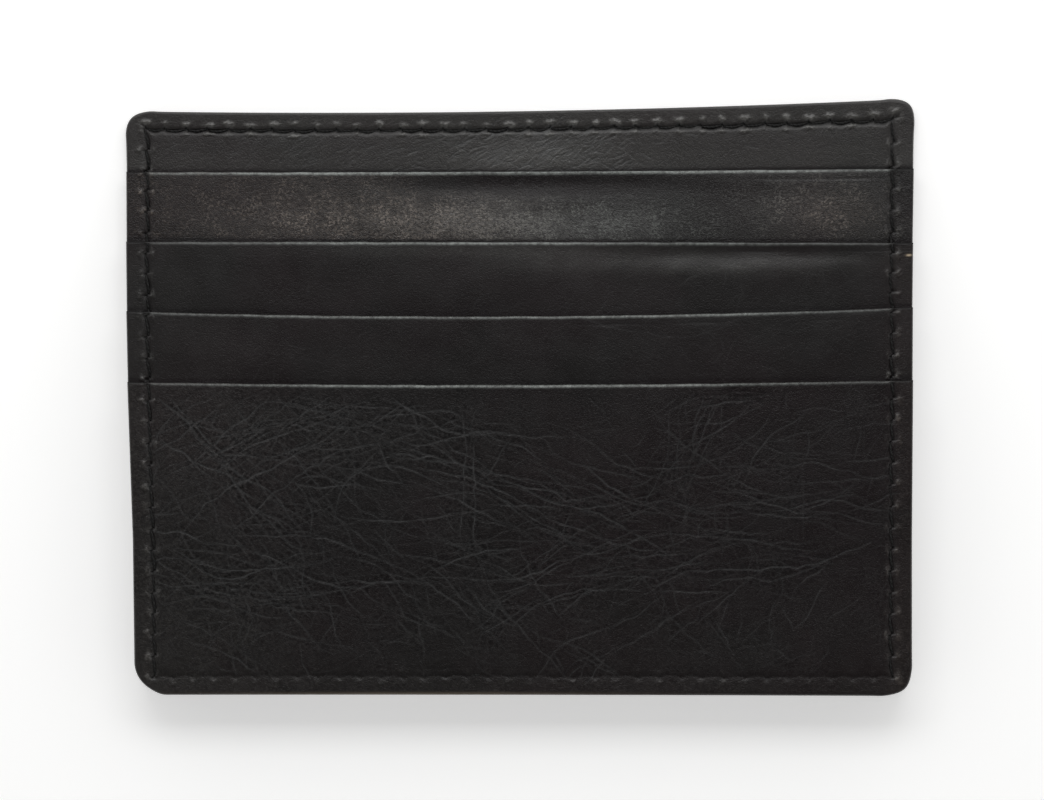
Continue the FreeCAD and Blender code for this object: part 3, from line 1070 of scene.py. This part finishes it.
def mouth_gap(number, y, strength):
    """The shade just above the mouth of a panel."""
    return strength * bell(y - MOUTHS[number - 1], 0.35)


def front_painted_sheen(x, y):
    """Painted sheen of the front pocket: paler and olive at the left, dark and reddish in the middle."""
    left = 0.09 * smooth(-x, 20, 46)
    lower = 0.04 * smooth(-y, 18, 34)
    return margin_paleness_and_highlights(x, y) + left + lower + patch(x, y, *FRONT_PATCH) + 0.02


def front_warm(x, y):
    """Where the painted sheen of the front pocket turns brown."""
    return 0.25 + patch(x, y, (8, -12), (18, 12), 0.5) + 0.5 * smooth(x, 44, 49.5)


def face_painted_sheen(x, y):
    """Painted sheen of the face panel above the first mouth: a pale wrinkled patch in the middle, plainer at
    the left, and painted shade just above the first mouth.
    """
    base = 0.21 - 0.05 * smooth(-x, 22, 38)
    lower = 0.13 * smooth(-y, -34, -30.5)
    return margin_paleness_and_highlights(x, y) + base + lower + patch(x, y, *FACE_PATCH) - mouth_gap(1, y, 0.6)


def slot_painted_sheen(number, x, y):
    """Painted sheen of each slot panel, with painted shade just above the next mouth."""
    painted_sheen = patches(x, y, SLOT_PATCHES[number])
    if number == 1:
        sheen_patches = patches(x, y, SLOT_ONE_PAINTED_SHEEN) * (1 + 0.5 * waves(x, y, (2.3, 4.5, 8.0), 48))
        painted_sheen = (0.09 + sheen_patches + painted_sheen) * smooth(SEAM_X - np.abs(x), -0.4, 1.2) - 0.02
    if number == 2:
        painted_sheen += patch(x, y, *PAINTED_SHEEN_BAND) * (0.8 + 0.5 * waves(x * 0.4, y, (1.6, 2.8), 46))
    return margin_paleness_and_highlights(x, y) + 0.05 + painted_sheen - mouth_gap(number + 1, y, 0.8)


def slot_dent(number, x, y):
    """Hollows that cards have left. The one in the second slot panel is uneven."""
    dent = patches(x, y, SLOT_DENTS[number])
    return dent * (1 + 0.3 * waves(x, y * 2, (9.0, 14.0), 45)) if number == 2 else dent


def slot_warm(number, x, y):
    """Where the painted sheen of a slot panel turns brown: the left and a patch at the right of the first,
    and the right edge of the others.
    """
    if number == 1:
        return 0.75 * smooth(-x, -12, 20) + patch(x, y, (40, 24), (8, 4), 0.7)
    return 0.1 + 0.3 * smooth(x, 44, 49)


def tooled_line(x, y, mouth):
    """The faint line pressed in just below a mouth, worn away in places."""
    kept = smooth(waves(x, y, (13.0, 37.0), 11), -0.1, 0.6) * smooth(x, -2, 16)
    return np.exp(-(((mouth - 1.2 - y) / 0.13) ** 2)) * kept


# ---- the leather pieces


def make_front_pocket(material):
    """The front pocket with its network of creases."""
    canvas = crease_canvas(BOTTOM, MOUTHS[3], FRONT_CREASES, seed=31, cell=0.62, net=0.17)

    def relief(x, y):
        swell = FRONT_SWELL * waves(x, y, (17.0, 29.0, 41.0), 8)
        return seam_relief(x, y) - FRONT_DEPTH * canvas.read(x, y) + swell * smooth(SEAM_X - np.abs(x), 0, 6)

    thing, x, y, edge = leather_sheet("front_pocket", POCKET_PANEL, BOTTOM, relief, material, CUT_AT_MOUTH)
    lines = canvas.read(x, y) * smooth(edge, 0.5, 3.0)
    fields = panel_fields(x, y, 4, lines, front_painted_sheen(x, y), front_warm(x, y))
    fields["crowd"] = crowding(canvas).read(x, y)
    fields["bare"] = patch(x, y, (-13, BOTTOM + 0.1), (24, 0.22), 0.22)
    store_fields(thing, x, y, fields)
    stand_in(thing, POCKET_PANEL)


def seen_share(y, seen_from):
    """1 where a sheet is seen and 0 where other panels cover it."""
    return smooth(y, seen_from - 0.5, seen_from + 0.3)


def make_slot_panel(number, material):
    """One of the slot panels: fine where it shows between its own mouth and the next."""
    part = SLOT_PANELS[number - 1]
    mouth, seen_from = MOUTHS[number - 1], MOUTHS[number] - TUCKED_UNDER
    canvas = crease_canvas(seen_from, mouth, SLOT_CREASES[number], seed=50 + number, cell=0.5, net=0.06)

    def relief(x, y):
        seen = seen_share(y, seen_from)
        swell = SLOT_SWELL * waves(x, y * 2, (15.0, 27.0), 60 + number)
        dent = -TOOLED_DEPTH * tooled_line(x, y, mouth) + slot_dent(number, x, y)
        shaped = (swell + dent) * seen * smooth(SEAM_X - np.abs(x), 0, 5)
        return seam_relief(x, y) * seen - SLOT_DEPTH * (canvas.read(x, y) * seen) + shaped

    name = part.replace("panel", "front")
    thing, x, y, _ = leather_sheet(name, part, seen_from, relief, material, CUT_AT_MOUTH)
    seen = seen_share(y, seen_from)
    lines = canvas.read(x, y) * seen + 0.22 * tooled_line(x, y, mouth)
    fields = panel_fields(x, y, number, lines, slot_painted_sheen(number, x, y) * seen, slot_warm(number, x, y))
    if number == 2:
        fields["bare"] = patch(x, y, (49.55, 18.7), (0.28, 0.12), 1.6)
    store_fields(thing, x, y, fields)
    stand_in(thing, part)


def make_face(material):
    """The wall behind the slots, which shows above the first mouth."""
    seen_from = MOUTHS[0] - TUCKED_UNDER
    canvas = crease_canvas(seen_from, TOP, FACE_CREASES, seed=71, cell=0.36, net=0.05)

    def relief(x, y):
        swell = FACE_SWELL * waves(x, y, (9.0, 21.0), 72)
        return (seam_relief(x, y) - FACE_DEPTH * canvas.read(x, y) + swell) * seen_share(y, seen_from)

    thing, x, y, _ = leather_sheet("face", "face_panel", seen_from, relief, material, FULL_HEIGHT)
    lines = canvas.read(x, y) * (y > seen_from)
    # The face panel's painted sheen, clipped to its range.
    painted_sheen = np.clip(face_painted_sheen(x, y), 0, 1)
    store_fields(thing, x, y, {"line": lines, "painted_sheen": painted_sheen, "warm": np.full_like(x, 0.15)})
    stand_in(thing, "face_panel")


def make_back(material):
    """The back panel, creased like the front, with its stitches sunk in."""
    canvas = crease_canvas(BOTTOM, TOP, BACK_CREASES, seed=91, cell=0.8, net=0.15)

    def relief(x, y):
        return np.minimum(seam_relief(x, y), 0) - BACK_DEPTH * canvas.read(x, y)

    thing, x, y, edge = leather_sheet("back", "back_panel", BOTTOM, relief, material, FULL_HEIGHT, True)
    lines = canvas.read(x, y) * smooth(edge, 0.5, 3.0)
    # A little painted sheen all over the back, with the paler margin and the painted highlights on the tucks.
    painted_sheen = margin_paleness_and_highlights(x, y) + 0.10
    store_fields(thing, x, y, {"line": lines, "painted_sheen": painted_sheen, "warm": np.full_like(x, 0.3)})
    stand_in(thing, "back_panel")


# ---- the layers between, and the thread


def inner_radius(radius, half):
    """The corner radius of a sheet that follows the outline a little way in."""
    return radius - HALF_WIDTH + half


def make_hidden_layers(edge_leather, lining, core):
    """The core sheet, the fillers and the linings, whose edges show round the sides and in the mouths."""
    half = cad("core_sheet")[1][0]
    corners = (inner_radius(LOWER_RADIUS, half), inner_radius(UPPER_RADIUS, half))
    thing = new_object("core", *thin_sheet("core_sheet", half, corners), core)
    stand_in(thing, "core_sheet")
    for part, floor in zip(FILLERS, FLOORS):
        thing = new_object(part.replace("slot_", ""), *filler_mesh(part, BOTTOM + floor), edge_leather)
        stand_in(thing, part)
    for part in LININGS:
        half = cad(part)[1][0]
        corners = (inner_radius(LOWER_RADIUS, half), 0.0)
        thing = new_object(part.replace("lining", "fabric"), *thin_sheet(part, half, corners), lining)
        stand_in(thing, part)


def surface_level(y):
    """Height of the front surface along the sides, stepping up at each mouth."""
    level = np.full_like(y, LEVELS[0])
    for mouth, here, below in zip(MOUTHS, LEVELS[1:], LEVELS):
        level += (here - below) * smooth(-(y - mouth), -0.25, 0.25)
    return level


def back_level(y):
    """Height of the back surface along the seam, a little in from the flat face: nothing stands proud."""
    return np.full_like(y, BACK_THREAD_LEVEL)


def stitch_tube(start, end, level_of, shape):
    """One stitch: a leaning, sagging tube that comes up out of one hole and goes down into the next."""
    share = np.linspace(0, 1, STITCH_RINGS)
    arch = np.sin(share * math.pi)
    along = np.array(end) - np.array(start)
    inward = np.array([-along[1], along[0]]) / np.linalg.norm(along)
    flat = np.array(start) + share[:, None] * along
    flat += inward * (stitch_bow(share, *shape) + seam_wander(flat[:, 0], flat[:, 1]))[:, None]
    rise = -THREAD_SUNK + THREAD_RISE * arch**0.5
    centre = np.column_stack([flat, level_of(flat[:, 1]) + rise])
    tangent = np.gradient(centre, axis=0)
    tangent /= np.linalg.norm(tangent, axis=1, keepdims=True)
    side = np.column_stack([np.tile(inward, (STITCH_RINGS, 1)), np.zeros(STITCH_RINGS)])
    up = np.cross(tangent, side)
    angle = np.linspace(0, math.tau, STITCH_SIDES, endpoint=False)[None, :, None]
    radius = THREAD_RADIUS * (0.75 + 0.25 * arch)
    circle = side[:, None, :] * np.cos(angle) + up[:, None, :] * np.sin(angle)
    points = centre[:, None, :] + circle * radius[:, None, None]
    return points.reshape(-1, 3)


def tube_faces(first, rings, sides):
    """The faces of one tube with closed ends."""
    faces = []
    for ring in range(rings - 1):
        for i in range(sides):
            a, b = first + ring * sides + i, first + ring * sides + (i + 1) % sides
            faces.append((a, b, b + sides, a + sides))
    faces.append(tuple(first + i for i in reversed(range(sides))))
    faces.append(tuple(first + (rings - 1) * sides + i for i in range(sides)))
    return faces


def seam_holes():
    """The needle holes round the holder, evenly spaced along each side."""
    corners = [
        (-SEAM_X, SEAM_BOTTOM),
        (SEAM_X, SEAM_BOTTOM),
        (SEAM_X, SEAM_TOP),
        (-SEAM_X, SEAM_TOP),
    ]
    holes = []
    for here, following in zip(corners, corners[1:] + corners[:1]):
        length = math.dist(here, following)
        share = np.linspace(0, 1, round(length / STITCH_PITCH), endpoint=False)[:, None]
        holes.append(np.array(here) + (np.array(following) - here) * share)
    return np.concatenate(holes)


def make_thread(name, part, level_of, flip, material):
    """All the stitches on one face of the holder, as one run of thread."""
    random = np.random.default_rng(7)
    holes = seam_holes()
    vertices, faces = [], []
    for here, following in zip(holes, np.roll(holes, -1, axis=0)):
        lift = random.normal(-0.02, 0.05)
        gap = (following - here) * STITCH_GAP
        slant, sag = SIDE_STITCH if abs(here[0] - following[0]) < 0.1 else ROW_STITCH
        shape = (slant * random.uniform(0.7, 1.3), sag * random.uniform(0.6, 1.3))
        in_bottom_row = max(here[1], following[1]) < 0.999 * SEAM_BOTTOM
        sunk = lift - BOTTOM_ROW_SUNK * in_bottom_row
        points = stitch_tube(here + gap, following - gap, lambda y: level_of(y) + sunk, shape)
        faces += tube_faces(len(vertices) * len(points), STITCH_RINGS, STITCH_SIDES)
        vertices.append(points)
    points = np.concatenate(vertices)
    if flip:
        points[:, 2] *= -1
        faces = [tuple(reversed(f)) for f in faces]
    points[:, :2] = ease(points[:, :2])
    stand_in(new_object(name, points, faces, material), part)


# ---- floor, light and camera

FLOOR_COLOURS = ((0.86, 0.86, 0.855), (0.88, 0.88, 0.875))
FLOOR_HALF = 4000.0
FLOOR_GLOW = 0.45
SKY_COLOUR = (1.0, 0.995, 0.985, 1.0)

# Metres and watts from here on.
SOFT_BOX_SIZE = (0.30, 0.12)
SOFT_BOX_PLACE = (0.0, 0.17, 0.24)
SOFT_BOX_TILT = -33
SOFT_BOX_POWER = 0.36
CAMERA_PLACE = (0.0004, 0.00005, 0.905)
CAMERA_DISTANCE = 0.9
PICTURE_WIDTH = 0.1325


def make_floor():
    """A plain pale floor."""
    material, tree, shader = new_material("floor")
    tint = mix_colour(tree, noise(tree, 400.0), *FLOOR_COLOURS)
    fill(shader, Base_Color=tint, Roughness=0.9, Specular_IOR_Level=0.1)
    fill(shader, Emission_Color=(1.0, 1.0, 1.0, 1.0), Emission_Strength=FLOOR_GLOW)
    half = FLOOR_HALF
    corners = [(-half, -half, 0), (half, -half, 0), (half, half, 0), (-half, half, 0)]
    new_object("floor", corners, [(0, 1, 2, 3)], material)


def make_world():
    """Soft studio light from all round, dim overhead and brighter towards the top edge."""
    world = bpy.data.worlds.new("studio")
    world.use_nodes = True
    tree = world.node_tree
    tree.nodes.clear()
    direction = node(tree, "ShaderNodeTexCoord").outputs["Generated"]
    parts = node(tree, "ShaderNodeSeparateXYZ", Vector=direction)
    around = remap(tree, parts.outputs["Z"], 0.35, 0.72, 1.3, 0.02)
    lean = remap(tree, parts.outputs["Y"], -0.7, 0.7, 0.75, 1.25)
    background = node(tree, "ShaderNodeBackground", Color=SKY_COLOUR, Strength=times(tree, around, lean))
    node(tree, "ShaderNodeOutputWorld", Surface=background.outputs[0])
    bpy.context.scene.world = world


def make_key_light():
    """A soft box beyond the top edge, which grazes the leather."""
    data = bpy.data.lights.new("soft_box", "AREA")
    data.shape = "RECTANGLE"
    data.size, data.size_y = SOFT_BOX_SIZE
    data.energy = SOFT_BOX_POWER
    lamp = bpy.data.objects.new("soft_box", data)
    lamp.location = SOFT_BOX_PLACE
    lamp.rotation_euler = (math.radians(SOFT_BOX_TILT), 0, 0)
    lamp.visible_camera = False
    bpy.context.scene.collection.objects.link(lamp)


def make_camera():
    """Straight above the front, from far enough to keep the sides out of sight."""
    data = bpy.data.cameras.new("camera")
    data.sensor_width = 36.0
    data.lens = data.sensor_width * CAMERA_DISTANCE / PICTURE_WIDTH
    data.clip_start, data.clip_end = 0.01, 20.0
    camera = bpy.data.objects.new("camera", data)
    camera.location = CAMERA_PLACE
    bpy.context.scene.collection.objects.link(camera)
    bpy.context.scene.camera = camera


def build():
    """The whole holder and its studio."""
    leather = leather_material("black_leather", fleck_depth=0.5, grain=0.55)
    face_leather = leather_material("face_leather", fleck_depth=0.4, grain=0.5)
    pebbled = leather_material("pebbled_leather", fleck_depth=1.0, grain=0.7, gloss=0.6, domes=0.5)
    smooth_leather = leather_material("smooth_leather", fleck_depth=0.4, grain=0.4)
    thread = thread_material()
    lining = fabric_material("lining", LINING_BLACK, 0.35)
    core = fabric_material("core", CORE_BROWN, 0.5)
    make_back(leather)
    make_face(face_leather)
    make_hidden_layers(edge_leather_material("edge_leather"), lining, core)
    make_slot_panel(1, pebbled)
    make_slot_panel(2, smooth_leather)
    make_slot_panel(3, smooth_leather)
    make_front_pocket(leather)
    make_thread("stitches_front", "needle_thread", surface_level, False, thread)
    make_thread("stitches_back", "bobbin_thread", back_level, True, thread)
    make_floor()
    make_world()
    make_key_light()
    make_camera()
    bpy.context.scene.view_settings.view_transform = "Standard"


build()
